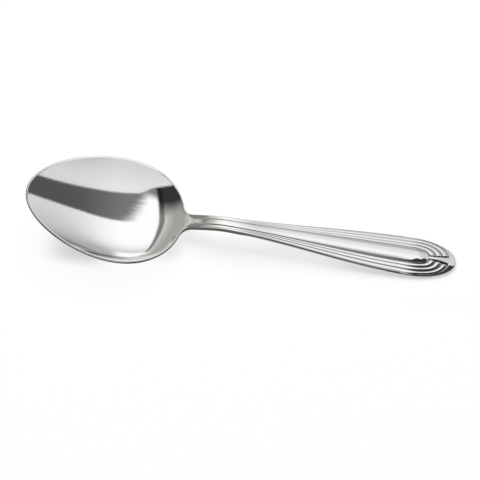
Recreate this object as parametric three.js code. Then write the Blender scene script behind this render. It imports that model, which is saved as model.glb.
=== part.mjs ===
// Tablespoon: one strip of stainless steel, pressed and coined into a bowl, a neck and a reeded handle.
// It lies on a table with the bowl open upward.
// Units are millimetres. +X runs from the bowl to the handle, +Z is up and the table is z = 0.
// "along" is a distance from the bowl's tip, and x = 0 is half way along the spoon.

import * as THREE from 'three';
import { mergeVertices } from 'three/addons/utils/BufferGeometryUtils.js';

const { lerp, smoothstep } = THREE.MathUtils;

// Plan: bowl, neck and handle
const SPOON_LENGTH = 200;
const BOWL_LENGTH = 73.1; // from the tip to where the bowl's oval closes inside the neck
const BOWL_WIDTH = 53;
const BOWL_WIDEST_ALONG = 42.5;
const SHOULDER_FILLET = 5.7; // radius between the bowl's oval and the neck
const NECK_WIDTH = 6.6;
const NECK_STRAIGHT = 11.9; // straight stretch of the neck after the fillet
const HANDLE_WIDTH = 18.7; // where the rounded end begins
const END_LENGTH = 20.3; // rounded end of the handle

// Side profile: height and slope of the top of the edge
const TIP_HEIGHT = 18.9;
const TIP_SLOPE = -0.175;
const HEEL_BEFORE_CLOSING = 7.1;
const HEEL_HEIGHT = 7.2;
const HEEL_SLOPE = -0.075;
const ARCH_AFTER_CLOSING = 20.9;
const ARCH_HEIGHT = 10.65;
const ARCH_SLOPE = -0.07;
const END_HEIGHT = 1.45;
const END_SLOPE = 0.025;

// Thickness of the steel; on the handle this is its edge, and the crown adds to it
const RIM_THICKNESS = 1.2;
const NECK_THICKNESS = 3;
const END_THICKNESS = 1.4;
const HEEL_SWELL = 16; // the steel thickens from rim to neck over this length
const EDGE_ROUND = 0.3;
const REST_FLAT = 0.22; // depth of the worn flat under the bowl
const HANDLE_CROWN = 1.7; // rise of the handle's middle above its edges, at its end
const NECK_CROWN = 0.5;

// Hollow of the bowl
const WALL_FULLNESS = 0.15; // 0 is a parabola across the bowl, more has steeper walls
const HEEL_ROLL = 0.2; // how softly the bowl's floor rolls over into the neck
const HEEL_ROLL_REACH = 8; // half width over which it rolls

// Coined ornament: reeds along each side of a raised pillow, curling in to a stem at the end
const REEDS_PER_SIDE = 3;
const REED_PITCH = 1.7; // where the rounded end begins
const NECK_REED_PITCH = 0.55;
const REED_BORDER = 0.52; // plain edge outside the reeds
const TIP_LAND = 3.1; // plain land between the reeds and the end, on the centre line
const TIP_REED_PITCH = 3.1;
const REED_PARTING = 34; // length over which one reed at the neck parts into all of them
const GROOVE_DEPTH = 0.4; // round the handle's end
const SIDE_GROOVE_DEPTH = 0.1; // along the handle
const NECK_GROOVE_DEPTH = 0.2;
const GROOVE_OPENING = 10; // length over which the grooves deepen, where the rounded end begins
const REED_CREST = 0.1; // above the crowned face
const REED_FULLNESS = 2.6; // 2 is a parabola across a reed, more is squarer
const PILLOW_RISE = 1.1; // above the crowned face
const NECK_PILLOW_RISE = 0.1;
const PILLOW_FULLNESS = 2.4; // 2 is a parabola across the pillow, more is squarer
const PILLOW_WALL = 0.12; // share of the pillow's half width that its groove's wall takes
const STEM_WIDTH = 0.9; // beside the pillow
const STEM_FLARE = 3.1; // width where the stem meets the land
const STEM_RISE = 0.4; // half way along the stem
const STEM_GROOVE = 0.5; // between the stem and the reeds' ends
const REED_END_ROUND = 0.08; // share of a curl over which its end is rounded off
const GROOVE_LIP = 0.12; // width of a groove's outer wall, in reed pitches
const ON_STEM = 2; // marks a cut past the reeds' curls, which end at 1

// Fineness of the mesh
const TIP_TURNS = 16;
const HEEL_ROWS = 14;
const FILLET_ROWS = 6;
const NECK_ROWS = 6;
const HANDLE_ROWS = 22;
const END_TURNS = 15;
const LINES_PER_REED = 4;
const PILLOW_LINES = 5;
const UNDERSIDE_LINES = 9;
const PILLOW_LINE_CROWDING = 1.5; // toward the groove
const END_TURN_CROWDING = 1.6; // toward the stem
const SEARCH_STEPS = 40;
const SMALL_STEP = 1e-4;

// Outline in plan

const widestShare = BOWL_WIDEST_ALONG / BOWL_LENGTH;
const widestPull = (2 * widestShare - 1) / (2 * widestShare * (1 - widestShare));
const ovalSkew = widestPull / (1 - widestPull * (widestShare - 0.5));

// Square of the half width of an oval that is fuller toward the handle; negative past its ends
function ovalSquare(along) {
  const share = along / BOWL_LENGTH;
  const lean = 1 + ovalSkew * (share - 0.5);
  return share * (1 - share) * lean * lean;
}

// 0 at the tip, 1 at the bowl's widest place, 0 where the oval closes and negative after it
function fullness(along) {
  return ovalSquare(along) / ovalSquare(BOWL_WIDEST_ALONG);
}

function bowlHalfWidth(along) {
  return (BOWL_WIDTH / 2) * Math.sqrt(Math.max(0, fullness(along)));
}

function bowlSlope(along) {
  return (bowlHalfWidth(along + SMALL_STEP) - bowlHalfWidth(along - SMALL_STEP)) / (2 * SMALL_STEP);
}

// Halving search for the arc that touches both the oval and the straight side of the neck
function findShoulder() {
  let inner = BOWL_WIDEST_ALONG;
  let outer = BOWL_LENGTH;
  for (let halving = 0; halving < SEARCH_STEPS; halving += 1) {
    const middle = (inner + outer) / 2;
    const normalLength = Math.hypot(1, bowlSlope(middle));
    const centreHeight = bowlHalfWidth(middle) + SHOULDER_FILLET / normalLength;
    if (centreHeight > NECK_WIDTH / 2 + SHOULDER_FILLET) {
      inner = middle;
    } else {
      outer = middle;
    }
  }
  const sweep = Math.atan(-bowlSlope(inner));
  return { start: inner, centre: inner + SHOULDER_FILLET * Math.sin(sweep), sweep };
}

const shoulder = findShoulder();
const neckEnd = shoulder.centre + NECK_STRAIGHT;
const endStart = SPOON_LENGTH - END_LENGTH;

function halfWidth(along) {
  if (along < shoulder.start) {
    return bowlHalfWidth(along);
  }
  if (along < shoulder.centre) {
    const run = shoulder.centre - along;
    return NECK_WIDTH / 2 + SHOULDER_FILLET - Math.sqrt(SHOULDER_FILLET ** 2 - run ** 2);
  }
  return lerp(NECK_WIDTH / 2, HANDLE_WIDTH / 2, smoothstep(along, neckEnd, endStart));
}

// Heights and thickness

const archAlong = BOWL_LENGTH + ARCH_AFTER_CLOSING;
const profileKnots = [
  { along: 0, height: TIP_HEIGHT, slope: TIP_SLOPE },
  { along: BOWL_LENGTH - HEEL_BEFORE_CLOSING, height: HEEL_HEIGHT, slope: HEEL_SLOPE },
  { along: archAlong, height: ARCH_HEIGHT, slope: ARCH_SLOPE },
  { along: SPOON_LENGTH, height: END_HEIGHT, slope: END_SLOPE },
];

// Smooth cubic between the knots of the side profile
function edgeHeight(along) {
  const next = Math.max(1, profileKnots.findIndex((knot) => knot.along >= along));
  const from = profileKnots[next - 1];
  const to = profileKnots[next];
  const span = to.along - from.along;
  const t = (along - from.along) / span;
  const leave = (t ** 3 - 2 * t ** 2 + t) * span * from.slope;
  const arrive = (t ** 3 - t ** 2) * span * to.slope;
  return lerp(from.height, to.height, t * t * (3 - 2 * t)) + leave + arrive;
}

function thickness(along) {
  const swell = smoothstep(along, shoulder.centre - HEEL_SWELL, shoulder.centre);
  const taper = smoothstep(along, archAlong, endStart);
  return lerp(lerp(RIM_THICKNESS, NECK_THICKNESS, swell), END_THICKNESS, taper);
}

// Depth below the edge, as a share of the bowl's greatest depth
function hollow(along, across) {
  const wide = ((2 * across) / BOWL_WIDTH) ** 2;
  const inside = (fullness(along) - wide) * (1 + WALL_FULLNESS * wide);
  const towardNeck = smoothstep(along, BOWL_WIDEST_ALONG, BOWL_LENGTH);
  const roll = HEEL_ROLL * towardNeck * Math.exp(-((across / HEEL_ROLL_REACH) ** 2));
  const fade = 1 - smoothstep(along, shoulder.centre, neckEnd);
  return (fade * (inside + Math.hypot(inside, roll))) / 2;
}

// The bowl is as deep as the table under it allows
function findBowlDepth() {
  let depth = Infinity;
  for (const along of steps(SEARCH_STEPS, BOWL_WIDEST_ALONG, BOWL_LENGTH)) {
    depth = Math.min(depth, (edgeHeight(along) - thickness(along)) / hollow(along, 0));
  }
  return depth + REST_FLAT;
}

const bowlDepth = findBowlDepth();

// Upper surface without the ornament
function faceHeight(along, across) {
  return edgeHeight(along) - bowlDepth * hollow(along, across);
}

// Rise of the handle's middle above its edges, falling away to the shoulders and round the end
function crown(along, across) {
  if (along <= shoulder.start) {
    return 0;
  }
  const past = Math.max(0, along - endStart) / END_LENGTH;
  const wide = across / halfWidth(Math.min(along, endStart));
  const shown = smoothstep(along, shoulder.start, neckEnd);
  const rise = lerp(NECK_CROWN, HANDLE_CROWN, smoothstep(along, neckEnd, endStart));
  return shown * rise * Math.max(0, 1 - past ** 2 - wide ** 2);
}

function undersideHeight(along, across) {
  return Math.max(0, faceHeight(along, across) - thickness(along));
}

// Lines that run the length of the spoon, from the edge to the centre line.
// A line's level counts reeds inward from the border, and the last whole step is the pillow.

function steps(count, from, to) {
  return Array.from({ length: count }, (_, i) => lerp(from, to, (i + 1) / count));
}

function edgeLine(inset) {
  return { inset, share: 1, level: null };
}

function innerLines(count, levelOf) {
  return Array.from({ length: count }, (_, i) => ({
    inset: EDGE_ROUND,
    share: 1 - (i + 1) / count,
    level: levelOf(i),
  }));
}

const reedLevels = steps(REEDS_PER_SIDE * LINES_PER_REED, 0, REEDS_PER_SIDE);
const pillowSteps = steps(PILLOW_LINES, 0, 1);
const pillowLevels = pillowSteps.map((share) => REEDS_PER_SIDE + share ** PILLOW_LINE_CROWDING);
const levels = [-GROOVE_LIP, 0, ...reedLevels, ...pillowLevels];
const faceLines = [edgeLine(0), edgeLine(EDGE_ROUND), ...innerLines(levels.length, (i) => levels[i])];
const undersideLines = [edgeLine(0), edgeLine(EDGE_ROUND), ...innerLines(UNDERSIDE_LINES, () => null)];

function pillowShare(level) {
  return Math.max(0, level - REEDS_PER_SIDE);
}

function reedCount(level) {
  return Math.min(level, REEDS_PER_SIDE);
}

function acrossHandle(line, along) {
  if (line.level === null) {
    return (halfWidth(along) - line.inset) * line.share;
  }
  const pitch = lerp(NECK_REED_PITCH, REED_PITCH, smoothstep(along, neckEnd, endStart));
  const reedLine = halfWidth(along) - REED_BORDER - reedCount(line.level) * pitch;
  return reedLine * (1 - pillowShare(line.level));
}

// How far a line's oval reaches past the start of the rounded end; the land opens toward the tip
function endReach(line, angle) {
  if (line.level === null) {
    return (END_LENGTH - line.inset) * line.share;
  }
  const land = lerp(REED_BORDER, TIP_LAND, Math.cos(angle) ** 2);
  const reach = END_LENGTH - land - reedCount(line.level) * TIP_REED_PITCH;
  return reach * (1 - pillowShare(line.level));
}

// Angle at which a line of the rounded end meets the stem, widened by a gap
function stemAngle(line, gap) {
  const level = THREE.MathUtils.clamp(line.level ?? 0, 0, REEDS_PER_SIDE);
  const stemHalf = lerp(STEM_WIDTH, STEM_FLARE, (1 - level / REEDS_PER_SIDE) ** 2) / 2;
  return Math.asin((stemHalf + gap) / acrossHandle({ level }, endStart));
}

// Height of the ornament above the plain face

// 0 where one reed at the neck begins to part, 1 where all of them run side by side
function parting(along) {
  return smoothstep(along, neckEnd, neckEnd + REED_PARTING);
}

// 0 along the handle, rising to 1 where its rounded end begins
function opening(along) {
  return smoothstep(along, endStart - GROOVE_OPENING / 2, endStart + GROOVE_OPENING / 2);
}

function grooveDepth(along) {
  return lerp(lerp(NECK_GROOVE_DEPTH, SIDE_GROOVE_DEPTH, parting(along)), GROOVE_DEPTH, opening(along));
}

// Section of a reed: 0 in one groove, 1 at its crest and 0 in the next groove
function bump(t) {
  return 1 - Math.abs(2 * t - 1) ** REED_FULLNESS;
}

function pillowRelief(level, along) {
  const rise = lerp(NECK_PILLOW_RISE, PILLOW_RISE, smoothstep(along, neckEnd, endStart));
  const share = pillowShare(level);
  const wall = Math.min(1, share / PILLOW_WALL);
  return rise * (1 - (1 - share) ** PILLOW_FULLNESS) - grooveDepth(along) * (1 - wall) ** 2;
}

// The outer reed runs to the edge along the handle, and a groove opens outside it at the end
function reedRelief(level, along, curl) {
  const crest = lerp(bump(level / REEDS_PER_SIDE), bump(level % 1), parting(along));
  const tail = THREE.MathUtils.clamp((curl - 1 + REED_END_ROUND) / REED_END_ROUND, 0, 1);
  const full = grooveDepth(along);
  const beside = level < 0.5 ? full * opening(along) : full;
  const depth = lerp(beside, full, tail);
  return (depth + REED_CREST) * crest * Math.sqrt(1 - tail * tail) - depth;
}

function relief(line, along, curl) {
  if (line.level === null || line.level < 0) {
    return 0;
  }
  const onPillow = line.level > REEDS_PER_SIDE;
  const height = onPillow ? pillowRelief(line.level, along) : reedRelief(line.level, along, curl);
  if (curl === ON_STEM) {
    const share = reedCount(line.level) / REEDS_PER_SIDE;
    return Math.max(height, STEM_RISE * 4 * share * (1 - share));
  }
  return height * smoothstep(along, shoulder.centre, neckEnd);
}

// Cuts across the spoon: each gives the place of a line, and how far round the end its reeds have curled

// Cuts that fan out from the bowl's widest place round its tip
function tipCut(turn) {
  const angle = (Math.PI / 2) * turn;
  const back = BOWL_WIDEST_ALONG * Math.cos(angle);
  const side = bowlHalfWidth(BOWL_WIDEST_ALONG - back);
  const reach = Math.hypot(back, side);
  return (line) => {
    const share = ((reach - line.inset) * line.share) / reach;
    return { along: BOWL_WIDEST_ALONG - back * share, across: side * share, curl: 0 };
  };
}

// Straight cuts through the bowl, the neck and the handle
function straightCut(along) {
  const onHandle = smoothstep(along, shoulder.start, shoulder.centre);
  return (line) => {
    const inBowl = (halfWidth(along) - line.inset) * line.share;
    return { along, across: lerp(inBowl, acrossHandle(line, along), onHandle), curl: 0 };
  };
}

// Cuts that fan out round the handle's end, from its sides to the stem's groove
function endCut(curl) {
  return (line) => endPlace(line, lerp(Math.PI / 2, stemAngle(line, STEM_GROOVE), curl), curl);
}

// Cuts along the stem's edge, at share 1, and along its centre line, at share 0
function stemCut(share) {
  return (line) => endPlace(line, stemAngle(line, 0) * share, ON_STEM);
}

function endPlace(line, angle, curl) {
  const along = endStart + endReach(line, angle) * Math.cos(angle);
  return { along, across: acrossHandle(line, endStart) * Math.sin(angle), curl };
}

// Straight cuts crowd together toward the shoulder, as the outline turns in
function heelCut(angle) {
  return straightCut(lerp(BOWL_WIDEST_ALONG, shoulder.start, Math.sin(angle)));
}

function filletCut(angle) {
  return straightCut(shoulder.centre - SHOULDER_FILLET * Math.sin(angle));
}

const cuts = [
  tipCut(0),
  ...steps(TIP_TURNS, 0, 1).map(tipCut),
  ...steps(HEEL_ROWS, 0, Math.PI / 2).map(heelCut),
  ...steps(FILLET_ROWS, shoulder.sweep, 0).map(filletCut),
  ...steps(NECK_ROWS, shoulder.centre, neckEnd).map(straightCut),
  ...steps(HANDLE_ROWS, neckEnd, endStart).map(straightCut),
  ...steps(END_TURNS, 1, 0).map((left) => endCut(1 - left ** END_TURN_CROWDING)),
  stemCut(1),
  stemCut(0),
];

// Skin: each cut is a closed loop over the face and back along the underside

function facePoint(cut, line, side) {
  const { along, across, curl } = cut(line);
  const onEdge = line.inset === 0;
  const crowned = faceHeight(along, across) + crown(along, across);
  const height = crowned + relief(line, along, curl) - (onEdge ? EDGE_ROUND : 0);
  return new THREE.Vector3(along - SPOON_LENGTH / 2, side * across, height);
}

function undersidePoint(cut, line, side) {
  const { along, across } = cut(line);
  const onEdge = line.inset === 0;
  const height = undersideHeight(along, across) + (onEdge ? EDGE_ROUND : 0);
  return new THREE.Vector3(along - SPOON_LENGTH / 2, side * across, height);
}

function loop(cut) {
  const near = faceLines.map((line) => facePoint(cut, line, -1));
  const far = faceLines.slice(0, -1).map((line) => facePoint(cut, line, 1));
  const farUnder = undersideLines.map((line) => undersidePoint(cut, line, 1));
  const nearUnder = undersideLines.slice(0, -1).map((line) => undersidePoint(cut, line, -1));
  return [...near, ...far.reverse(), ...farUnder, ...nearUnder.reverse()];
}

function skin(loops) {
  const size = loops[0].length;
  const points = loops.flat();
  const corners = [];
  const addTriangle = (...triangle) => {
    const [a, b, c] = triangle.map((i) => points[i]);
    const closed = Math.min(a.distanceTo(b), b.distanceTo(c), c.distanceTo(a)) < SMALL_STEP;
    if (!closed) {
      corners.push(...triangle);
    }
  };
  for (let row = 0; row + 1 < loops.length; row += 1) {
    for (let column = 0; column < size; column += 1) {
      const next = (column + 1) % size;
      const here = row * size;
      const there = here + size;
      addTriangle(here + column, there + column, there + next);
      addTriangle(here + column, there + next, here + next);
    }
  }
  const geometry = new THREE.BufferGeometry().setFromPoints(points);
  geometry.setIndex(corners);
  return mergeVertices(geometry, SMALL_STEP);
}

const steel = new THREE.MeshStandardMaterial({ color: 0xc8c9ca, roughness: 0.14, metalness: 1 });
const spoon = new THREE.Mesh(skin(cuts.map(loop)), steel);
spoon.name = 'spoon';

const tablespoon = new THREE.Group();
tablespoon.name = 'tablespoon';
tablespoon.add(spoon);

export default tablespoon;
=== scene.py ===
import math

import bmesh
import bpy
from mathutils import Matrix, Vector


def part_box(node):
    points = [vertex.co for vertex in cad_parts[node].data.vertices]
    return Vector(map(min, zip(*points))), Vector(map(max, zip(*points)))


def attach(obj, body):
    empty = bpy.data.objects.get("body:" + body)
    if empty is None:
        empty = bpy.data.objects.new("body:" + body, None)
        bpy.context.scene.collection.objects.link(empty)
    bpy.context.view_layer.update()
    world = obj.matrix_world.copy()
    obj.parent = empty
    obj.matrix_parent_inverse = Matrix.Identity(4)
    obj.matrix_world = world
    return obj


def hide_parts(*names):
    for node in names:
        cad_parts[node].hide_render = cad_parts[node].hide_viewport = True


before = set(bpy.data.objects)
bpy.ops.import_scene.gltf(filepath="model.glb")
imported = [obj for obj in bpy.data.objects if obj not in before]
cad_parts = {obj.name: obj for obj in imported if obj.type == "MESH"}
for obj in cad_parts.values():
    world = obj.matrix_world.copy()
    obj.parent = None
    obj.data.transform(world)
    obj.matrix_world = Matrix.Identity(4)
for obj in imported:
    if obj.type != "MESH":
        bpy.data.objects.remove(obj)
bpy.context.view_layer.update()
SPOON_LOW, SPOON_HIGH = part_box("spoon")

bl_info = {
    "name": "Tablespoon",
    "version": (1, 0, 0),
    "blender": (4, 5, 0),
    "location": "View3D > Sidebar > Tablespoon",
    "description": "A polished steel tablespoon with a reeded handle, on a white studio table",
    "category": "Add Mesh",
}

# Fineness of the mesh
TIP_TURNS = 44
HEEL_ROWS = 44
FILLET_ROWS = 14
NECK_ROWS = 14
HANDLE_ROWS = 72
END_TURNS = 46
STEM_ROWS = 5
ROUND_LINES = 5
LAND_LINES = (0.14, 0.28, 0.42, 0.56, 0.7, 0.84, 0.95, 1.0)
CORNER_STEP = 0.004
LIP_LEVEL = 0.1
LINES_PER_REED = 9
PILLOW_LINES = 14
PILLOW_LINE_CROWDING = 1.5
END_TURN_CROWDING = 1.6
SEARCH_STEPS = 40
SMALL_STEP = 1e-7
WELD = 1e-7

# Reeds are counted inward from the border; the step past the last reed is the pillow
REEDS_PER_SIDE = 3
ON_STEM = 2.0

# The rim's dome is highest at this share of its land, from inside, and turns to a fall on the far side
RIM_CREST = 0.65
NEAR_SIDE_LEAN = 1.5

# Dark reflection painted onto the edge: stronger round the bowl's tip, and gone below it along the handle
TIP_SHADE = 12.0
TIP_SHADE_REACH = 0.025
EDGE_FADE = 0.02
EDGE_BELOW = -0.6

# In the looks below, a pair is where a soft edge starts and where it ends

# Polishing lines, and how the grooves take painted shade and the edge a painted dark reflection, both also
# rougher
LINES_STRETCH = (90.0, 2600.0, 2600.0)
LINES_DETAIL = 3.0
LINES_ROUGHNESS = 0.03
LINES_STRENGTH = 0.04
LINES_DEPTH = 0.0002
GROOVE_SHADE = 0.95
GROOVE_SHADE_RAMP = (0.2, 0.75)
EDGE_SHADE_RAMP = (0.03, 0.2)

# The table, and where its glow lets the lamp's shadow show, in metres to the right and to the back; extra
# glow paints the shadow out before the bowl
TABLE_SCALE = (4.0, 4.0, 1.0)
TABLE_PLACE = (0.0, 0.0, -0.0001)
TABLE_WHITE = 0.94
SHADE, SHADE_LOSS = 0.45, 0.25
SHADE_LEFT, SHADE_RIGHT = (-0.094, -0.076), (0.125, 0.11)
SHADE_FRONT, SHADE_BACK = (-0.028, -0.0205), (0.06, 0.04)
PALE_LEFT, PALE_RIGHT = (-0.06, -0.03), (0.07, 0.03)
PAINTED_OUT_LEFT, PAINTED_OUT_RIGHT, PAINTED_OUT_BACK = (-0.07, -0.056), (-0.02, -0.03), (-0.014, -0.02)

# The mirrored studio, by how far a ray leans to the right and to the back for its rise
LOWEST_RISE = 0.05
FILL_LEVEL = 0.3
BACKDROP_LEVEL = 1.0
COOL_LIGHT = (0.975, 0.99, 1.01, 1.0)
WARM_LIGHT = (1.02, 0.99, 0.95, 1.0)
WARM_EDGE = (0.1, -0.1)

# Its white wall behind, dimmer to the right, in the corner and on the ceiling, with a low bright strip
WALL_LEVEL = 0.95
WALL_GAIN, WALL_RIGHT, WALL_BACK = 0.58, (1.4, 0.0), (4.2, 1.0)
RIGHT_LOSS, RIGHT_FALL = 0.1, (0.4, 1.0)
CORNER_LOSS, CORNER_RIGHT, CORNER_BACK = 0.22, (0.0, 0.6), (1.8, 6.0)
CEILING_LEVEL, CEILING_LEAN = 0.33, 0.3
CEILING_FRONT, CEILING_RIGHT = (-0.36, -0.14), (0.1, 0.0)
STRIP_LEVEL = 1.5
STRIP_LEFT, STRIP_RIGHT, STRIP_BACK = (-2.2, -1.7), (0.5, -0.4), (4.0, 5.0)
FAR_RIGHT_LOSS, FAR_RIGHT = 0.55, (1.8, 5.0)

# Its dim left side, which the bowl's heel mirrors, with a bright streak and a dark seam
LEFT_PLACE, LEFT_LEAN, LEFT_EDGE = 0.58, 0.2, (0.12, 0.04)
LEFT_DARK, LEFT_LEVEL, LEFT_BACK = 0.05, 0.5, (-0.08, 0.4)
LEFT_GAIN, LEFT_RISE = 0.16, (-0.75, -0.2)
STREAK_GAIN = 0.2
STREAK_LEFT, STREAK_RIGHT, STREAK_BACK = (-0.22, -0.16), (-0.1, -0.14), (0.25, 0.45)
SEAM_LOSS, SEAM_EDGE = 0.6, (-0.11, -0.06)

# Its dark gap above, with a frayed end
GAP_LEVEL, GAP_GAIN, GAP_RISE = 0.125, 0.15, (0.9, 0.1)
GAP_END, GAP_END_LEAN = (-0.28, 0.03), 0.35
GAP_BACK, GAP_BACK_LEAN, GAP_BACK_STRAIGHT = (0.535, 0.485), 0.24, 0.65
GAP_BACK_BEND, GAP_BACK_BEND_START = 0.3, 0.7
FRAY_SCALE, FRAY_DETAIL, FRAY_DEPTH = 32.0, 3.0, 0.4

# Its bright front, dark at its foot
FRONT_PLACE, FRONT_LEAN, FRONT_EDGE = -0.17, 0.24, (0.012, -0.012)
FRONT_BEND, FRONT_BEND_START = 0.25, 0.5
FRONT_DROP, FRONT_DROP_EDGE = 0.12, (0.0, -0.4)
FRONT_LEVEL = 1.0
FRONT_GAIN, FRONT_RISE = 0.2, (-1.0, -0.1)
FRONT_LOSS, FRONT_FALL = 0.2, (0.3, 1.0)
FRONT_FOOT_LEVEL, FRONT_FOOT = 0.12, (-1.6, -2.6)

# The panel over the handle, in metres; each change of its light is an amount, a start and an end
PANEL_SCALE = (0.1, 0.2, 1.0)
PANEL_PLACE = (0.06, 0.1, 0.04)
PANEL_LEFT, PANEL_SLANT, PANEL_SLANT_START = (-0.044, -0.034), 0.5, 0.04
PANEL_LEVEL = 0.46
PANEL_ALONG = ((1.04, -0.04, -0.008), (-0.3, -0.002, 0.01), (0.2, 0.01, 0.03), (-0.22, 0.092, 0.102))
PANEL_BACKWARD = ((0.25, 0.001, 0.02), (0.35, 0.02, 0.08), (0.25, 0.08, 0.15))
PANEL_BACKWARD_START = (-0.016, 0.004)
PANEL_DARK, PANEL_DARK_GAIN, PANEL_DARK_EDGE = 0.05, 0.2, (0.09, 0.07)
PANEL_FRONT = (-0.04, -0.004)
PANEL_CORNER = 0.028
PANEL_CORNER_CHANGES = ((-0.0205, 0.082, 0.091), (-0.0165, 0.099, 0.109))
PANEL_CORNER_START, PANEL_CORNER_EDGE = (0.078, 0.086), (-0.001, 0.001)
PANEL_WARM = (1.04, 1.01, 0.94, 1.0)
PANEL_WARM_END = (-0.03, 0.0)
WHITE = (1.0, 1.0, 1.0, 1.0)

# Lamp and camera, with places in metres and the lens in millimetres
LAMP_SIZE = 0.9
LAMP_PLACE = (-0.2, 0.85, 1.0)
SENSOR_WIDTH = 36.0
LENS = 135.0
CAMERA_SHIFT_X, CAMERA_SHIFT_Y = -0.003, -0.011


def size(name, description, default):
    """A length in metres that a user can change"""
    return bpy.props.FloatProperty(
        name=name, description=description, default=default, unit="LENGTH", precision=5)


def number(name, description, default):
    """A plain number that a user can change"""
    return bpy.props.FloatProperty(name=name, description=description, default=default, precision=4)


def angle(name, description, degrees):
    """An angle that a user can change"""
    return bpy.props.FloatProperty(
        name=name, description=description, default=math.radians(degrees), subtype="ANGLE")


def colour(name, description, default):
    """A linear colour that a user can change"""
    return bpy.props.FloatVectorProperty(
        name=name, description=description, default=default, subtype="COLOR", size=3, min=0.0, max=1.0)


class SpoonSizes(bpy.types.PropertyGroup):
    """Sizes of the pressed and coined strip"""

    length: size("Length", "Whole spoon, tip to handle end", SPOON_HIGH.x - SPOON_LOW.x)
    bowl_width: size("Bowl width", "Widest place of the bowl", SPOON_HIGH.y - SPOON_LOW.y)
    bowl_length: size("Bowl length", "From the tip to where the bowl's oval closes in the neck", 0.0731)
    widest_along: size("Widest place", "Distance of the bowl's widest place from its tip", 0.0425)
    shoulder_fillet: size("Shoulder fillet", "Radius between the bowl's oval and the neck", 0.0057)
    neck_width: size("Neck width", "Width of the neck", 0.0066)
    neck_straight: size("Neck length", "Straight stretch of the neck", 0.0119)
    handle_width: size("Handle width", "Width where the rounded end begins", 0.0187)
    end_length: size("End length", "Rounded end of the handle", 0.0203)
    tip_height: size("Tip height", "Height of the rim at the tip", 0.0189)
    tip_slope: number("Tip slope", "Slope of the rim at the tip", -0.175)
    heel_before: size("Heel place", "The heel lies this far before the oval closes", 0.0071)
    heel_height: size("Heel height", "Height of the edge at the heel", 0.0072)
    heel_slope: number("Heel slope", "Slope of the edge at the heel", -0.075)
    arch_after: size("Arch place", "The arch lies this far after the oval closes", 0.0209)
    arch_height: size("Arch height", "Height of the edge at the arch of the handle", 0.01065)
    arch_slope: number("Arch slope", "Slope of the edge at the arch", -0.07)
    end_height: size("End height", "Height of the edge at the handle's end", 0.00145)
    end_slope: number("End slope", "Slope of the edge at the handle's end", 0.025)
    rim_thickness: size("Rim thickness", "Steel at the bowl's rim", 0.0012)
    neck_thickness: size("Neck thickness", "Steel at the neck", 0.003)
    end_thickness: size("End thickness", "Steel at the handle's edge, at its end", 0.0014)
    heel_swell: size("Heel swell", "The steel thickens from rim to neck over this length", 0.016)
    rim_round: size("Rim round", "Radius of the bowl's rim above", 0.0005)
    rim_land: size("Rim land", "Width of the rim between its round and the bowl", 0.0006)
    rim_dome: size("Rim dome", "How far the near rim's land stands up from its inner side", 0.00006)
    rim_fall: size("Rim fall", "How much lower the far rim's land lies at its outer side", 0.00006)
    edge_round: size("Edge round", "Radius of the handle's edge above", 0.00022)
    under_round: size("Under round", "Radius of the edge below", 0.00055)
    rest_flat: size("Rest flat", "Depth of the worn flat under the bowl", 0.00022)
    wall_fullness: number("Wall fullness", "How much steeper the bowl's walls are than a parabola", 0.15)
    heel_roll: number("Heel roll", "How softly the bowl's floor rolls over into the neck", 0.2)
    heel_roll_reach: size("Heel roll reach", "Half width over which it rolls", 0.008)
    reed_pitch: size("Reed pitch", "Pitch of the reeds where the rounded end begins", 0.00175)
    neck_reed_pitch: size("Neck reed pitch", "Pitch of the reeds at the neck", 0.0006)
    tip_land: size("Tip land", "Plain land between the reeds and the handle's end", 0.0031)
    tip_reed_pitch: size("Tip reed pitch", "Pitch of the reeds on the centre line", 0.0031)
    reed_parting: size("Reed parting", "Length over which one reed parts into all of them", 0.034)
    groove_depth: size("Groove depth", "Grooves below the face, at the handle's end", 0.0004)
    side_groove_depth: size("Side groove depth", "Grooves between the reeds, along the handle", 0.00016)
    pillow_groove_depth: size("Pillow groove depth", "Groove beside the pillow, along the handle", 0.00034)
    neck_groove_depth: size("Neck groove depth", "Grooves below the face, at the neck", 0.00046)
    reed_fullness: number("Reed fullness", "Power of a reed's section, 2 is a parabola", 2.6)
    groove_opening: size("Groove opening", "The grooves deepen over this length where the end begins", 0.01)
    reed_crest: size("Reed crest", "Reeds above the edge", 0.0001)
    handle_crown: size("Handle crown", "Height of the handle's middle above its edges", 0.0017)
    neck_crown: size("Neck crown", "Height of the neck's middle above its edges", 0.0005)
    pillow_rise: size("Pillow rise", "Pillow above the crowned face", 0.0011)
    pillow_fullness: number("Pillow fullness", "Power of the pillow's section, 2 is a parabola", 2.4)
    neck_pillow_rise: size("Neck pillow rise", "Pillow above the face at the neck", 0.0001)
    pillow_wall: number("Pillow wall", "Share of the pillow's half width that its groove's wall takes", 0.12)
    stem_width: size("Stem width", "Width of the stem beside the pillow", 0.0009)
    stem_rise: size("Stem rise", "Stem above the face, half way along it", 0.0004)
    stem_flare: size("Stem flare", "Width where the stem meets the land", 0.0031)
    stem_groove: size("Stem groove", "Gap between the stem and the reeds' ends", 0.0005)
    reed_end_round: number("Reed end", "Share of a curl over which its end is rounded off", 0.08)


class SteelFinish(bpy.types.PropertyGroup):
    """Colours and polish of the steel"""

    steel: colour("Steel", "Polished steel", (0.66, 0.66, 0.655))
    # Painted shade: a dark colour for shade in the grooves and for a dark reflection on the edge
    painted_shade: colour("Groove residue", "Dull steel in the grooves and on the worn edge", (0.07, 0.068, 0.066))
    roughness: number("Roughness", "Polished faces", 0.05)
    groove_roughness: number("Groove roughness", "Added where the steel is dull", 0.18)


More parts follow.
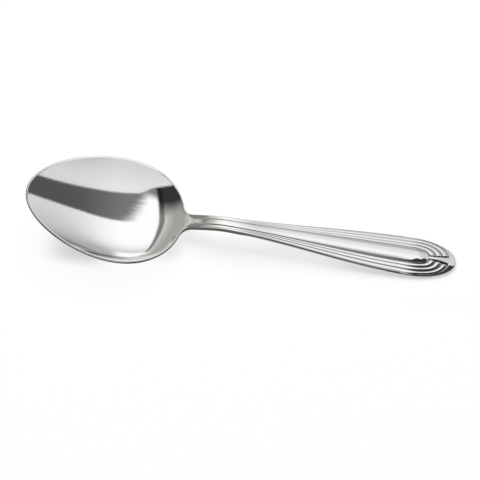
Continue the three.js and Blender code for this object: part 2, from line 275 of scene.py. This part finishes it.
class StudioLight(bpy.types.PropertyGroup):
    """Table, lamp and camera"""

    table: colour("Table", "White table top", (0.95, 0.95, 0.95))
    lamp_power: bpy.props.FloatProperty(
        name="Lamp power", description="Power of the soft lamp behind the spoon", default=20.0, unit="POWER")
    camera_distance: size("Camera distance", "From the middle of the spoon", 0.838)
    camera_turn: angle("Camera turn", "Toward the handle", 8.4)
    camera_height: angle("Camera height", "Angle above the table", 66.0)


def lerp(start, end, t):
    return start + (end - start) * t


def clamp(value):
    return min(1.0, max(0.0, value))


def smoothstep(value, low, high):
    t = clamp((value - low) / (high - low))
    return t * t * (3.0 - 2.0 * t)


def steps(count, start, end):
    return [lerp(start, end, (i + 1) / count) for i in range(count)]


class Line:
    """A line that runs the length of the spoon, from the tip to the handle's end"""

    def __init__(self, inset=0.0, land=0.0, share=1.0, level=None, turn=math.pi / 2):
        self.inset = inset
        self.land = land
        self.share = share
        self.level = level
        self.turn = turn

    def spread(self):
        """The same line on a bowl that reaches out to the outline"""
        return Line(share=self.share, level=self.level)


class SpoonForm:
    """Plan, heights and ornament of the spoon; along is a distance from the bowl's tip"""

    def __init__(self, sizes):
        self.s = s = sizes
        widest = s.widest_along / s.bowl_length
        pull = (2 * widest - 1) / (2 * widest * (1 - widest))
        self.skew = pull / (1 - pull * (widest - 0.5))
        self.widest_square = self.oval_square(s.widest_along)
        self.find_shoulder()
        self.neck_end = self.shoulder_centre + s.neck_straight
        self.end_start = s.length - s.end_length
        self.arch_along = s.bowl_length + s.arch_after
        self.knots = [
            (0.0, s.tip_height, s.tip_slope),
            (s.bowl_length - s.heel_before, s.heel_height, s.heel_slope),
            (self.arch_along, s.arch_height, s.arch_slope),
            (s.length, s.end_height, s.end_slope),
        ]
        self.bowl_depth = self.find_bowl_depth()

    def oval_square(self, along):
        part = along / self.s.bowl_length
        lean = 1 + self.skew * (part - 0.5)
        return part * (1 - part) * lean * lean

    def fullness(self, along):
        """0 at the tip, 1 at the widest place and negative past the oval's end"""
        return self.oval_square(along) / self.widest_square

    def bowl_half_width(self, along):
        return self.s.bowl_width / 2 * math.sqrt(max(0.0, self.fullness(along)))

    def bowl_slope(self, along):
        rise = self.bowl_half_width(along + SMALL_STEP) - self.bowl_half_width(along - SMALL_STEP)
        return rise / (2 * SMALL_STEP)

    def find_shoulder(self):
        """Halving search for the arc that touches both the oval and the neck's side"""
        s = self.s
        inner, outer = s.widest_along, s.bowl_length
        for _ in range(SEARCH_STEPS):
            middle = (inner + outer) / 2
            centre = self.bowl_half_width(middle) + s.shoulder_fillet / math.hypot(1, self.bowl_slope(middle))
            if centre > s.neck_width / 2 + s.shoulder_fillet:
                inner = middle
            else:
                outer = middle
        self.shoulder_sweep = math.atan(-self.bowl_slope(inner))
        self.shoulder_start = inner
        self.shoulder_centre = inner + s.shoulder_fillet * math.sin(self.shoulder_sweep)

    def half_width(self, along):
        s = self.s
        if along < self.shoulder_start:
            return self.bowl_half_width(along)
        if along < self.shoulder_centre:
            run = self.shoulder_centre - along
            return s.neck_width / 2 + s.shoulder_fillet - math.sqrt(s.shoulder_fillet ** 2 - run ** 2)
        widening = smoothstep(along, self.neck_end, self.end_start)
        return lerp(s.neck_width, s.handle_width, widening) / 2

    def edge_height(self, along):
        """Smooth cubic through the knots of the side profile"""
        place = next((i for i, knot in enumerate(self.knots) if knot[0] >= along), len(self.knots) - 1)
        place = max(1, place)
        start, start_height, start_slope = self.knots[place - 1]
        end, end_height, end_slope = self.knots[place]
        span = end - start
        t = (along - start) / span
        leave = (t ** 3 - 2 * t ** 2 + t) * span * start_slope
        arrive = (t ** 3 - t ** 2) * span * end_slope
        return lerp(start_height, end_height, t * t * (3 - 2 * t)) + leave + arrive

    def thickness(self, along):
        s = self.s
        swell = smoothstep(along, self.shoulder_centre - s.heel_swell, self.shoulder_centre)
        taper = smoothstep(along, self.arch_along, self.end_start)
        return lerp(lerp(s.rim_thickness, s.neck_thickness, swell), s.end_thickness, taper)

    def hollow(self, along, across):
        """Depth below the edge, as a share of the bowl's greatest depth"""
        s = self.s
        wide = (2 * across / s.bowl_width) ** 2
        inside = (self.fullness(along) - wide) * (1 + s.wall_fullness * wide)
        toward_neck = smoothstep(along, s.widest_along, s.bowl_length)
        roll = s.heel_roll * toward_neck * math.exp(-(across / s.heel_roll_reach) ** 2)
        fade = 1 - smoothstep(along, self.shoulder_centre, self.neck_end)
        return fade * (inside + math.hypot(inside, roll)) / 2

    def find_bowl_depth(self):
        """The bowl is as deep as the table under it allows"""
        s = self.s
        room = [(self.edge_height(along) - self.thickness(along)) / self.hollow(along, 0.0)
                for along in steps(SEARCH_STEPS, s.widest_along, s.bowl_length)]
        return min(room) + s.rest_flat

    def bowl_drop(self, along, across):
        return self.bowl_depth * self.hollow(along, across)

    def crown(self, along, across):
        """Rise of the handle's middle above its edges, falling away round the end"""
        s = self.s
        if along <= self.shoulder_start:
            return 0.0
        past = max(0.0, along - self.end_start) / s.end_length
        wide = across / self.half_width(min(along, self.end_start))
        shown = smoothstep(along, self.shoulder_start, self.neck_end)
        rise = lerp(s.neck_crown, s.handle_crown, smoothstep(along, self.neck_end, self.end_start))
        return shown * rise * max(0.0, 1 - past ** 2 - wide ** 2)

    def underside_height(self, along, across):
        face = self.edge_height(along) - self.bowl_drop(along, across)
        return max(0.0, face - self.thickness(along))

    def face_lines(self):
        """Lines from the outline over the rounded edge to the centre line"""
        turns = [math.pi / 2 * i / ROUND_LINES for i in range(ROUND_LINES + 1)]
        edge = [Line(inset=1 - math.cos(turn), turn=turn) for turn in turns]
        reeds = steps(REEDS_PER_SIDE * LINES_PER_REED, 0, REEDS_PER_SIDE)
        pillow = [REEDS_PER_SIDE + t ** PILLOW_LINE_CROWDING for t in steps(PILLOW_LINES, 0, 1)]
        land = [Line(inset=1.0, land=part, level=part * (1 - LIP_LEVEL) - 1) for part in LAND_LINES]
        corner = [Line(inset=1.0, land=1.0, share=1 - CORNER_STEP, level=-LIP_LEVEL / 2)]
        levels = [0.0] + reeds + pillow
        count = len(levels)
        inner = [Line(1.0, 1.0, 1 - (i + 1) / count, level) for i, level in enumerate(levels)]
        return edge + land + corner + inner

    def pillow_share(self, level):
        return max(0.0, level - REEDS_PER_SIDE)

    def reed_count(self, level):
        return min(REEDS_PER_SIDE, max(0.0, level))

    def across_handle(self, line, along):
        s = self.s
        if line.level is None:
            return self.half_width(along) - line.inset * s.edge_round
        pitch = lerp(s.neck_reed_pitch, s.reed_pitch, smoothstep(along, self.neck_end, self.end_start))
        reed_line = self.half_width(along) - s.edge_round - self.reed_count(line.level) * pitch
        return reed_line * (1 - self.pillow_share(line.level))

    def end_reach(self, line, angle):
        """How far a line's oval reaches past the start of the rounded end; the land opens toward the tip"""
        s = self.s
        if line.level is None:
            return s.end_length - line.inset * s.edge_round
        land = lerp(s.edge_round, s.tip_land, math.cos(angle) ** 2)
        land = lerp(land, s.edge_round, clamp(-line.level))
        reach = s.end_length - land - self.reed_count(line.level) * s.tip_reed_pitch
        return reach * (1 - self.pillow_share(line.level))

    def stem_angle(self, line, gap):
        """Angle at which a line of the rounded end meets the stem, widened by a gap"""
        s = self.s
        level = self.reed_count(line.level or 0.0)
        stem_half = lerp(s.stem_width, s.stem_flare, (1 - level / REEDS_PER_SIDE) ** 2) / 2
        return math.asin((stem_half + gap) / self.across_handle(Line(level=level), self.end_start))

    def groove_at(self, along, level=0.0):
        """Depth of the grooves, deeper beside the pillow"""
        s = self.s
        parted = smoothstep(along, self.neck_end, self.neck_end + s.reed_parting)
        beside_pillow = clamp(2 * (level - REEDS_PER_SIDE) + 1)
        side = lerp(s.side_groove_depth, s.pillow_groove_depth, beside_pillow)
        return lerp(lerp(s.neck_groove_depth, side, parted), s.groove_depth, self.opening(along))

    def opening(self, along):
        """0 along the handle, rising to 1 where its rounded end begins"""
        reach = self.s.groove_opening / 2
        return smoothstep(along, self.end_start - reach, self.end_start + reach)

    def bump(self, t, tail=0.0):
        """Section of a reed, 0 in its grooves and 1 at its crest, with its end rounded off along the tail"""
        return 1 - min(1.0, math.hypot(2 * t - 1, tail)) ** self.s.reed_fullness

    def pillow_relief(self, level, along):
        s = self.s
        rise = lerp(s.neck_pillow_rise, s.pillow_rise, smoothstep(along, self.neck_end, self.end_start))
        part = self.pillow_share(level)
        wall = clamp(part / s.pillow_wall)
        dome = 1 - (1 - part) ** s.pillow_fullness
        return rise * dome - self.groove_at(along, level) * (1 - wall) ** 2

    def reed_relief(self, level, along, curl):
        s = self.s
        parted = smoothstep(along, self.neck_end, self.neck_end + s.reed_parting)
        tail = clamp((curl - 1 + s.reed_end_round) / s.reed_end_round)
        crest = lerp(self.bump(level / REEDS_PER_SIDE), self.bump(level % 1, tail), parted)
        full = self.groove_at(along, level)
        depth = full * self.opening(along) if level < 0.5 else full
        depth = lerp(depth, full, tail)
        return (depth + s.reed_crest) * crest - depth

    def relief(self, line, along, curl):
        """Height of the ornament above the plain face"""
        if line.level is None:
            return 0.0
        if line.level < 0:
            lip = 1 - clamp(-line.level / LIP_LEVEL)
            height = lip * lip * self.reed_relief(0.0, along, curl)
        elif line.level > REEDS_PER_SIDE:
            height = self.pillow_relief(line.level, along)
        else:
            height = self.reed_relief(line.level, along, curl)
        if curl == ON_STEM:
            part = self.reed_count(line.level) / REEDS_PER_SIDE
            return max(height, self.s.stem_rise * 4 * part * (1 - part))
        return height * smoothstep(along, self.shoulder_centre, self.neck_end)

    def rim_inset(self, line):
        return line.inset * self.s.rim_round + line.land * self.s.rim_land

    def rim_rise(self, line, side):
        """Rise of the rim's land, domed on the near side and falling outward on the far side"""
        s = self.s
        outward = 1 - line.land
        near_side = clamp(0.5 - NEAR_SIDE_LEAN * side / s.bowl_width)
        dome = s.rim_dome * (1 - (1 - outward / RIM_CREST) ** 2)
        return lerp(-s.rim_fall * outward ** 2, dome, near_side)

    def tip_cut(self, turn):
        """A cut that fans out from the bowl's widest place round its tip"""
        widest = self.s.widest_along
        back = widest * math.cos(math.pi / 2 * turn)
        side = self.bowl_half_width(widest - back)
        reach = math.hypot(back, side)

        def place(line):
            part = (reach - self.rim_inset(line)) * line.share / reach
            return widest - back * part, side * part, 0.0
        return place

    def straight_cut(self, along):
        on_handle = smoothstep(along, self.shoulder_start, self.shoulder_centre)

        def place(line):
            in_bowl = (self.half_width(along) - self.rim_inset(line)) * line.share
            return along, lerp(in_bowl, self.across_handle(line, along), on_handle), 0.0
        return place

    def heel_cut(self, angle):
        return self.straight_cut(lerp(self.s.widest_along, self.shoulder_start, math.sin(angle)))

    def fillet_cut(self, angle):
        return self.straight_cut(self.shoulder_centre - self.s.shoulder_fillet * math.sin(angle))

    def end_place(self, line, angle, curl):
        along = self.end_start + self.end_reach(line, angle) * math.cos(angle)
        return along, self.across_handle(line, self.end_start) * math.sin(angle), curl

    def end_cut(self, curl):
        """A cut that fans out round the handle's end, from its side to the stem's groove"""
        def place(line):
            angle = lerp(math.pi / 2, self.stem_angle(line, self.s.stem_groove), curl)
            return self.end_place(line, angle, curl)
        return place

    def stem_cut(self, part):
        """A cut along the stem, from its edge at 1 to its centre line at 0"""
        def place(line):
            return self.end_place(line, self.stem_angle(line, 0.0) * part, ON_STEM)
        return place

    def cuts(self):
        """Cuts across the spoon, from the bowl's tip to the handle's end"""
        cuts = [self.tip_cut(0.0)]
        cuts += [self.tip_cut(turn) for turn in steps(TIP_TURNS, 0, 1)]
        cuts += [self.heel_cut(angle) for angle in steps(HEEL_ROWS, 0, math.pi / 2)]
        cuts += [self.fillet_cut(angle) for angle in steps(FILLET_ROWS, self.shoulder_sweep, 0)]
        cuts += [self.straight_cut(along) for along in steps(NECK_ROWS, self.shoulder_centre, self.neck_end)]
        cuts += [self.straight_cut(along) for along in steps(HANDLE_ROWS, self.neck_end, self.end_start)]
        cuts += [self.end_cut(1 - left ** END_TURN_CROWDING) for left in steps(END_TURNS, 1, 0)]
        cuts += [self.stem_cut(1.0)]
        cuts += [self.stem_cut(part) for part in steps(STEM_ROWS, 1, 0)]
        return cuts


def spoon_mesh(form):
    """A grid laid over the face, cut by cut and line by line, and drawn down to the underside"""
    cuts = form.cuts()
    lines = form.face_lines()
    rows = len(cuts) - 1
    half = len(lines) - 1
    bm = bmesh.new()
    bmesh.ops.create_grid(bm, x_segments=rows, y_segments=2 * half, size=1.0)
    round_off = bm.verts.layers.float.new("round_off")
    groove = bm.verts.layers.float.new("groove")
    edge = bm.verts.layers.float.new("edge")
    middle = form.s.length / 2
    for vert in bm.verts:
        cut = cuts[round((vert.co.x + 1) / 2 * rows)]
        step = round(vert.co.y * half)
        line = lines[half - abs(step)]
        along, across, curl = cut(line)
        side = math.copysign(across, step)
        relief = form.relief(line, along, curl)
        height = form.edge_height(along) - form.bowl_drop(*cut(line.spread())[:2])
        height += form.crown(along, across) + relief
        vert[round_off] = 1 - math.sin(line.turn)
        # Masks for painted shade: the grooves' depth, and the rounded edge, where a dark reflection is
        # painted, strongest round the bowl's tip
        vert[groove] = clamp(-relief / form.s.groove_depth)
        vert[edge] = vert[round_off] * lerp(TIP_SHADE, 1.0, smoothstep(along, 0.0, TIP_SHADE_REACH))
        on_handle = smoothstep(along, form.shoulder_start, form.shoulder_centre)
        drop = lerp(form.s.rim_round, form.s.edge_round, on_handle) * vert[round_off]
        drop -= form.rim_rise(line, side) * (1 - on_handle)
        vert.co = (along - middle, side, height - drop)
    bmesh.ops.remove_doubles(bm, verts=bm.verts, dist=WELD)
    drawn = bmesh.ops.extrude_face_region(bm, geom=list(bm.faces))
    for vert in drawn["geom"]:
        if isinstance(vert, bmesh.types.BMVert):
            along = vert.co.x + middle
            rise = form.s.under_round * vert[round_off]
            vert.co.z = form.underside_height(along, vert.co.y) + rise
            vert[groove] = 0.0
            # Along the handle the painted dark reflection covers only the upper part of the edge's wall
            edge_shade_cut = smoothstep(along, form.neck_end, form.neck_end + EDGE_FADE)
            edge_shade_cut *= 1 - smoothstep(along, form.end_start - EDGE_FADE, form.end_start)
            vert[edge] *= lerp(1.0, EDGE_BELOW, edge_shade_cut)
    bmesh.ops.recalc_face_normals(bm, faces=bm.faces)
    for face in bm.faces:
        face.smooth = True
    bm.verts.layers.float.remove(bm.verts.layers.float["round_off"])
    mesh = bpy.data.meshes.new("spoon_polished")
    bm.to_mesh(mesh)
    bm.free()
    return mesh


class Value:
    """A shader socket that carries a number, with operators that add Math nodes"""

    def __init__(self, shader, socket):
        self.shader = shader
        self.socket = socket

    def math(self, operation, *inputs):
        node = self.shader.node("ShaderNodeMath", {"operation": operation}, Value=list(inputs))
        return self.shader.value(node.outputs[0])

    def __add__(self, other):
        return self.math("ADD", self, other)

    def __radd__(self, other):
        return self.math("ADD", other, self)

    def __sub__(self, other):
        return self.math("SUBTRACT", self, other)

    def __rsub__(self, other):
        return self.math("SUBTRACT", other, self)

    def __mul__(self, other):
        return self.math("MULTIPLY", self, other)

    def __rmul__(self, other):
        return self.math("MULTIPLY", other, self)

    def __truediv__(self, other):
        return self.math("DIVIDE", self, other)

    def __rtruediv__(self, other):
        return self.math("DIVIDE", other, self)

    def maximum(self, other):
        return self.math("MAXIMUM", self, other)

    def minimum(self, other):
        return self.math("MINIMUM", self, other)

    def past(self, limit):
        """How far the number is past a limit, 0 before it"""
        return self.maximum(limit) - limit

    def ramp(self, low, high):
        """Rises smoothly from 0 at low to 1 at high, or falls where low is the larger"""
        rises = low < high
        node = self.shader.node(
            "ShaderNodeMapRange", {"interpolation_type": "SMOOTHSTEP"}, Value=self,
            From_Min=min(low, high), From_Max=max(low, high), To_Min=float(not rises), To_Max=float(rises))
        return self.shader.value(node.outputs["Result"])

    def stepped(self, level, changes):
        """Adds each change's amount to a level, from its start to its end"""
        for amount, start, end in changes:
            level = level + amount * self.ramp(start, end)
        return level

    def toward(self, other, part):
        """Mixes this value with another one"""
        return self + (other - self) * part


class Shader:
    """A node tree with one method that adds any node"""

    def __init__(self, owner):
        owner.use_nodes = True
        self.tree = owner.node_tree
        self.tree.nodes.clear()

    def node(self, kind, settings=None, **sockets):
        """Adds a node; a list fills the sockets that share one name"""
        made = self.tree.nodes.new(kind)
        for name, value in (settings or {}).items():
            setattr(made, name, value)
        for name, given in sockets.items():
            slots = [slot for slot in made.inputs if slot.enabled and slot.name == name.replace("_", " ")]
            for slot, value in zip(slots, given if isinstance(given, list) else [given], strict=True):
                self.fill(slot, value)
        return made

    def fill(self, slot, value):
        if isinstance(value, Value):
            value = value.socket
        if isinstance(value, bpy.types.NodeSocket):
            self.tree.links.new(value, slot)
        else:
            slot.default_value = value

    def value(self, socket):
        return Value(self, socket)

    def attribute(self, name):
        return self.value(self.node("ShaderNodeAttribute", {"attribute_name": name}).outputs["Fac"])

    def axes(self, coordinate):
        """The three numbers of a texture coordinate"""
        place = self.node("ShaderNodeTexCoord").outputs[coordinate]
        return [self.value(axis) for axis in self.node("ShaderNodeSeparateXYZ", Vector=place).outputs]

    def mixed(self, part, start, end):
        """A colour between two"""
        node = self.node("ShaderNodeMix", {"data_type": "RGBA"}, Factor=part, A=start, B=end)
        return node.outputs["Result"]

    def scaled(self, colour, level):
        node = self.node("ShaderNodeVectorMath", {"operation": "SCALE"}, Vector=colour, Scale=level)
        return node.outputs["Vector"]


def polished_steel(finish):
    """Mirror-polished steel with fine polishing lines, rougher in its grooves and on its edge, with shade
    painted into the grooves and a dark reflection painted onto the edge
    """
    material = bpy.data.materials.new("polished_steel")
    sh = Shader(material)
    place = sh.node("ShaderNodeTexCoord").outputs["Object"]
    stretched = sh.node("ShaderNodeMapping", Vector=place, Scale=LINES_STRETCH).outputs["Vector"]
    noise = sh.node("ShaderNodeTexNoise", Vector=stretched, Scale=1.0, Detail=LINES_DETAIL)
    lines = sh.value(noise.outputs["Fac"])
    # Painted shade: the colour goes dark in the grooves, and on the edge as a painted dark reflection; the
    # same mask adds roughness
    groove_shade = GROOVE_SHADE * sh.attribute("groove").ramp(*GROOVE_SHADE_RAMP)
    dull_and_shaded = groove_shade.maximum(sh.attribute("edge").ramp(*EDGE_SHADE_RAMP))
    relief = sh.node("ShaderNodeBump", Strength=LINES_STRENGTH, Distance=LINES_DEPTH, Height=lines)
    surface = sh.node(
        "ShaderNodeBsdfPrincipled",
        Base_Color=sh.mixed(dull_and_shaded, (*finish.steel, 1.0), (*finish.painted_shade, 1.0)), Metallic=1.0,
        Roughness=finish.roughness + LINES_ROUGHNESS * lines + finish.groove_roughness * dull_and_shaded,
        Normal=relief.outputs["Normal"])
    sh.node("ShaderNodeOutputMaterial", Surface=surface.outputs["BSDF"])
    return material


def white_table(studio):
    """White and glowing, with the lamp's real shadow beside the spoon, partly painted out by glow in the
    middle and painted out before the bowl
    """
    material = bpy.data.materials.new("white_table")
    sh = Shader(material)
    path = sh.node("ShaderNodeLightPath").outputs
    seen = sh.value(path["Is Camera Ray"]) + sh.value(path["Is Glossy Ray"])
    seen = seen + sh.value(path["Is Transmission Ray"])
    right, back, _ = sh.axes("Object")
    # Painted light: more glow here paints out the lamp's shadow before the bowl, and the middle's shadow is
    # painted paler
    shadow_painted_out = right.ramp(*PAINTED_OUT_LEFT) * right.ramp(*PAINTED_OUT_RIGHT) * back.ramp(*PAINTED_OUT_BACK)
    beside = right.ramp(*SHADE_LEFT) * right.ramp(*SHADE_RIGHT) * back.ramp(*SHADE_BACK)
    shade = beside * back.ramp(*SHADE_FRONT) * (1.0 - shadow_painted_out)
    shade = shade * (SHADE - SHADE_LOSS * right.ramp(*PALE_LEFT) * right.ramp(*PALE_RIGHT))
    lit = sh.node("ShaderNodeBsdfDiffuse", Color=(*studio.table, 1.0))
    white = sh.node("ShaderNodeEmission", Color=WHITE, Strength=1.0)
    both = sh.node(
        "ShaderNodeMixShader", Fac=(TABLE_WHITE - shade) * seen, Shader=[lit.outputs[0], white.outputs[0]])
    sh.node("ShaderNodeOutputMaterial", Surface=both.outputs[0])
    return material


def wall_level(right, back):
    level = WALL_LEVEL + WALL_GAIN * back.ramp(*WALL_BACK) * right.ramp(*WALL_RIGHT)
    level = level - RIGHT_LOSS * right.ramp(*RIGHT_FALL)
    level = level - CORNER_LOSS * back.ramp(*CORNER_BACK) * right.ramp(*CORNER_RIGHT)
    behind = (back + CEILING_LEAN * right).ramp(*CEILING_FRONT)
    ceiling = CEILING_LEVEL + (level - CEILING_LEVEL) * behind
    return level.toward(ceiling, right.ramp(*CEILING_RIGHT))


def left_level(side, back):
    level = LEFT_DARK + (LEFT_LEVEL + LEFT_GAIN * side.ramp(*LEFT_RISE)) * back.ramp(*LEFT_BACK)
    streak = side.ramp(*STREAK_RIGHT) * side.ramp(*STREAK_LEFT) * back.ramp(*STREAK_BACK)
    return (level + STREAK_GAIN * streak) * (1.0 - SEAM_LOSS * side.ramp(*SEAM_EDGE))


def gap_place(sh, right, back):
    """1 in the dark gap and 0 outside it"""
    noise = sh.node(
        "ShaderNodeTexNoise", {"noise_dimensions": "1D"}, W=back, Scale=FRAY_SCALE, Detail=FRAY_DETAIL)
    fray = FRAY_DEPTH * (sh.value(noise.outputs["Fac"]) - 0.5)
    lean = GAP_BACK_LEAN * right.minimum(GAP_BACK_STRAIGHT) + GAP_BACK_BEND * right.past(GAP_BACK_BEND_START)
    return (right - GAP_END_LEAN * back + fray).ramp(*GAP_END) * (back - lean).ramp(*GAP_BACK)


def front_place(right, back):
    """1 in the bright front and 0 behind it"""
    bend = right.past(FRONT_BEND_START)
    edge = FRONT_PLACE + FRONT_LEAN * right + FRONT_BEND * bend * bend
    edge = edge - FRONT_DROP * right.ramp(*FRONT_DROP_EDGE)
    return (back - edge).ramp(*FRONT_EDGE)


def front_level(right, back):
    level = FRONT_LEVEL + FRONT_GAIN * back.ramp(*FRONT_RISE) - FRONT_LOSS * right.ramp(*FRONT_FALL)
    return level.toward(FRONT_FOOT_LEVEL, back.ramp(*FRONT_FOOT))


def studio_world():
    """Light all round: a white wall behind, a dim left side, a dark gap above and a bright front"""
    world = bpy.data.worlds.new("studio")
    sh = Shader(world)
    right, back, rise = sh.axes("Generated")
    rise = rise.maximum(LOWEST_RISE)
    right, back = right / rise, back / rise
    side = right + LEFT_PLACE + LEFT_LEAN * back
    strip = back.ramp(*STRIP_BACK) * right.ramp(*STRIP_RIGHT) * right.ramp(*STRIP_LEFT)
    near = front_place(right, back)
    level = wall_level(right, back).toward(left_level(side, back), side.ramp(*LEFT_EDGE))
    level = level.toward(STRIP_LEVEL, strip)
    level = level.toward(GAP_LEVEL + GAP_GAIN * right.ramp(*GAP_RISE), gap_place(sh, right, back))
    level = level.toward(front_level(right, back), near)
    level = level * (1.0 - FAR_RIGHT_LOSS * right.ramp(*FAR_RIGHT))
    path = sh.node("ShaderNodeLightPath").outputs
    level = level.toward(FILL_LEVEL, sh.value(path["Is Diffuse Ray"]))
    level = level.toward(BACKDROP_LEVEL, sh.value(path["Is Camera Ray"]))
    tint = sh.mixed(side.ramp(*WARM_EDGE) * (1.0 - near), COOL_LIGHT, WARM_LIGHT)
    glow = sh.node("ShaderNodeBackground", Color=sh.scaled(tint, level), Strength=1.0)
    sh.node("ShaderNodeOutputWorld", Surface=glow.outputs[0])
    return world


def panel_light():
    """Light of the panel over the handle, with a dark front and a slanted left end that lets rays pass"""
    material = bpy.data.materials.new("light_panel")
    sh = Shader(material)
    right, back, _ = sh.axes("Object")
    bright = right.stepped(PANEL_LEVEL, PANEL_ALONG)
    bright = bright - back.stepped(0.0, PANEL_BACKWARD) * right.ramp(*PANEL_BACKWARD_START)
    dark = PANEL_DARK + PANEL_DARK_GAIN * right.ramp(*PANEL_DARK_EDGE)
    past_corner = back + right.stepped(PANEL_CORNER, PANEL_CORNER_CHANGES)
    past_corner = past_corner.ramp(*PANEL_CORNER_EDGE)
    lit = back.ramp(*PANEL_FRONT).toward(past_corner, right.ramp(*PANEL_CORNER_START))
    tint = sh.mixed(right.ramp(*PANEL_WARM_END), PANEL_WARM, WHITE)
    level = dark.toward(bright.maximum(PANEL_DARK), lit)
    glow = sh.node("ShaderNodeEmission", Color=sh.scaled(tint, level), Strength=1.0)
    clear = sh.node("ShaderNodeBsdfTransparent")
    slanted = right - PANEL_SLANT * back.past(PANEL_SLANT_START)
    both = sh.node(
        "ShaderNodeMixShader", Fac=slanted.ramp(*PANEL_LEFT), Shader=[clear.outputs[0], glow.outputs[0]])
    sh.node("ShaderNodeOutputMaterial", Surface=both.outputs[0])
    return material


def flat_sheet(name, scale, place, material):
    """A flat rectangle with its size and place in its mesh"""
    bm = bmesh.new()
    bmesh.ops.create_grid(bm, x_segments=1, y_segments=1, size=1.0)
    bmesh.ops.scale(bm, verts=bm.verts, vec=scale)
    bmesh.ops.translate(bm, verts=bm.verts, vec=place)
    mesh = bpy.data.meshes.new(name)
    bm.to_mesh(mesh)
    bm.free()
    mesh.materials.append(material)
    return bpy.data.objects.new(name, mesh)


def soft_lamp(studio):
    light = bpy.data.lights.new("soft_lamp", "AREA")
    light.size = LAMP_SIZE
    light.energy = studio.lamp_power
    lamp = bpy.data.objects.new("soft_lamp", light)
    lamp.location = LAMP_PLACE
    lamp.rotation_euler = (-lamp.location).to_track_quat("-Z", "Y").to_euler()
    lamp.visible_camera = False
    lamp.visible_glossy = False
    return lamp


def studio_camera(studio):
    turn, rise = studio.camera_turn, studio.camera_height
    toward = Vector((math.sin(turn) * math.cos(rise), -math.cos(turn) * math.cos(rise), math.sin(rise)))
    lens = bpy.data.cameras.new("camera")
    lens.sensor_width = SENSOR_WIDTH
    lens.lens = LENS
    lens.shift_x, lens.shift_y = CAMERA_SHIFT_X, CAMERA_SHIFT_Y
    camera = bpy.data.objects.new("camera", lens)
    camera.location = toward * studio.camera_distance
    camera.rotation_euler = (math.pi / 2 - rise, 0.0, turn)
    return camera


class SPOON_OT_press(bpy.types.Operator):
    """Makes the spoon: bowl, neck and coined handle in one piece"""

    bl_idname = "tablespoon.press"
    bl_label = "Press the spoon"

    def execute(self, context):
        form = SpoonForm(context.scene.spoon_sizes)
        mesh = spoon_mesh(form)
        spoon = bpy.data.objects.new("polished_spoon", mesh)
        context.scene.collection.objects.link(spoon)
        mesh.materials.append(polished_steel(context.scene.steel_finish))
        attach(spoon, "root")
        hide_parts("spoon")
        return {"FINISHED"}


class SPOON_OT_stage(bpy.types.Operator):
    """Makes the white table, the lamp, the mirrored studio and the camera"""

    bl_idname = "tablespoon.stage"
    bl_label = "Set the stage"

    def execute(self, context):
        scene = context.scene
        studio = scene.studio_light
        table = flat_sheet("table", TABLE_SCALE, TABLE_PLACE, white_table(studio))
        scene.collection.objects.link(table)

        panel = flat_sheet("light_panel", PANEL_SCALE, PANEL_PLACE, panel_light())
        panel.visible_camera = False
        panel.visible_diffuse = False
        panel.visible_shadow = False
        scene.collection.objects.link(panel)

        scene.collection.objects.link(soft_lamp(studio))
        scene.world = studio_world()
        scene.camera = studio_camera(studio)
        scene.collection.objects.link(scene.camera)
        scene.view_settings.view_transform = "Standard"
        return {"FINISHED"}


class SPOON_PT_panel(bpy.types.Panel):
    """Sizes, finish and steps of the tablespoon"""

    bl_idname = "SPOON_PT_panel"
    bl_label = "Tablespoon"
    bl_space_type = "VIEW_3D"
    bl_region_type = "UI"
    bl_category = "Tablespoon"

    def draw(self, context):
        for group in (context.scene.spoon_sizes, context.scene.steel_finish, context.scene.studio_light):
            for name in group.__annotations__:
                self.layout.prop(group, name)
        self.layout.operator(SPOON_OT_press.bl_idname)
        self.layout.operator(SPOON_OT_stage.bl_idname)


CLASSES = (SpoonSizes, SteelFinish, StudioLight, SPOON_OT_press, SPOON_OT_stage, SPOON_PT_panel)


def register():
    for cls in CLASSES:
        bpy.utils.register_class(cls)
    bpy.types.Scene.spoon_sizes = bpy.props.PointerProperty(type=SpoonSizes)
    bpy.types.Scene.steel_finish = bpy.props.PointerProperty(type=SteelFinish)
    bpy.types.Scene.studio_light = bpy.props.PointerProperty(type=StudioLight)


def unregister():
    del bpy.types.Scene.studio_light
    del bpy.types.Scene.steel_finish
    del bpy.types.Scene.spoon_sizes
    for cls in reversed(CLASSES):
        bpy.utils.unregister_class(cls)


def main():
    register()
    bpy.ops.tablespoon.press()
    bpy.ops.tablespoon.stage()


if __name__ == "__main__":
    main()
